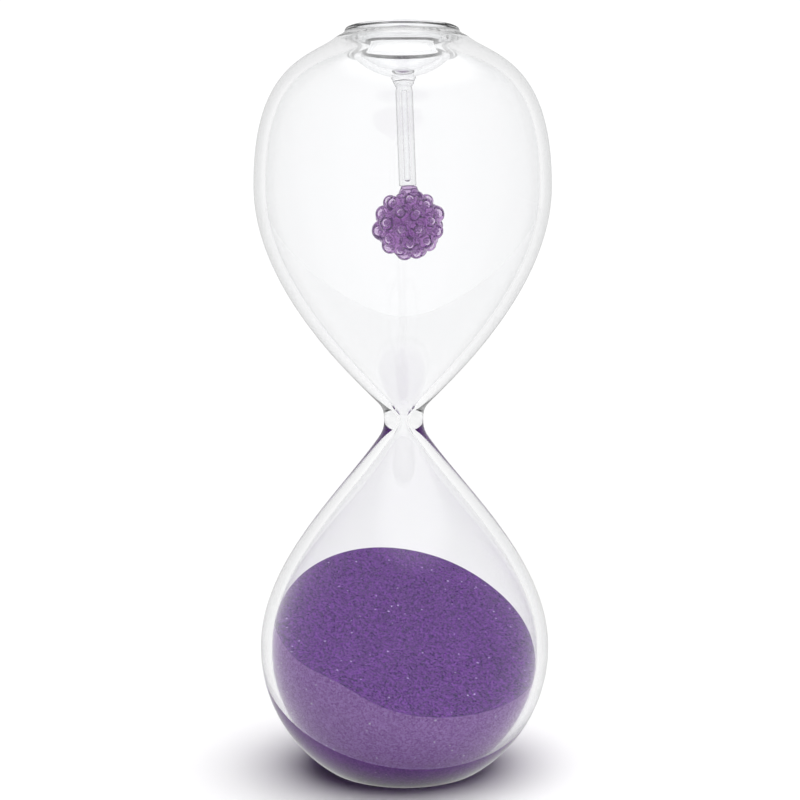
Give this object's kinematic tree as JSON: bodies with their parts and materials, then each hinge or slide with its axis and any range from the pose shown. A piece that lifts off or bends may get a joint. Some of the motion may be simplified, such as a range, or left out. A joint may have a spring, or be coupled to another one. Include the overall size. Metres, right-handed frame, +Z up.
{
  "type": "hourglass",
  "caption": "Free-standing all-glass hourglass: teardrop bulbs fused at a thick waist, a glass berry hung on a stem in the upper bulb, violet sand in the lower.",
  "frame": {"origin": "on the glass's axis, at the floor that the foot ring stands on", "axes": "+Z up along the axis that the bulbs are turned about; the stem leans towards +X and the viewer's side is -Y"},
  "size_m": [0.091, 0.091, 0.2284],
  "materials": {
    "clear_glass": "clear colourless blown borosilicate glass, fire-polished",
    "violet_glass": "transparent violet lampworked glass with glossy round beads",
    "violet_sand": "fine violet quartz sand, matt with a few bright grains"
  },
  "bodies": {
    "root": {"upper_bulb": "clear_glass", "lower_bulb": "clear_glass", "waist": "clear_glass", "mouth_ring": "clear_glass", "closing_dish": "clear_glass", "stem_weld": "clear_glass", "stem_tube": "clear_glass", "berry_core": "violet_glass", "berry_bead_01": "violet_glass", "berry_bead_02": "violet_glass", "berry_bead_03": "violet_glass", "berry_bead_04": "violet_glass", "berry_bead_05": "violet_glass", "berry_bead_06": "violet_glass", "berry_bead_07": "violet_glass", "berry_bead_08": "violet_glass", "berry_bead_09": "violet_glass", "berry_bead_10": "violet_glass", "berry_bead_11": "violet_glass", "berry_bead_12": "violet_glass", "berry_bead_13": "violet_glass", "berry_bead_14": "violet_glass", "berry_bead_15": "violet_glass", "berry_bead_16": "violet_glass", "berry_bead_17": "violet_glass", "berry_bead_18": "violet_glass", "berry_bead_19": "violet_glass", "berry_bead_20": "violet_glass", "berry_bead_21": "violet_glass", "berry_bead_22": "violet_glass", "berry_bead_23": "violet_glass", "berry_bead_24": "violet_glass", "berry_bead_25": "violet_glass", "berry_bead_26": "violet_glass", "berry_bead_27": "violet_glass", "berry_bead_28": "violet_glass", "berry_bead_29": "violet_glass", "berry_bead_30": "violet_glass", "berry_bead_31": "violet_glass", "berry_bead_32": "violet_glass", "berry_bead_33": "violet_glass", "berry_bead_34": "violet_glass", "berry_bead_35": "violet_glass", "berry_bead_36": "violet_glass", "berry_bead_37": "violet_glass", "berry_bead_38": "violet_glass", "berry_bead_39": "violet_glass", "berry_bead_40": "violet_glass", "sand": "violet_sand"}
  },
  "joints": []
}
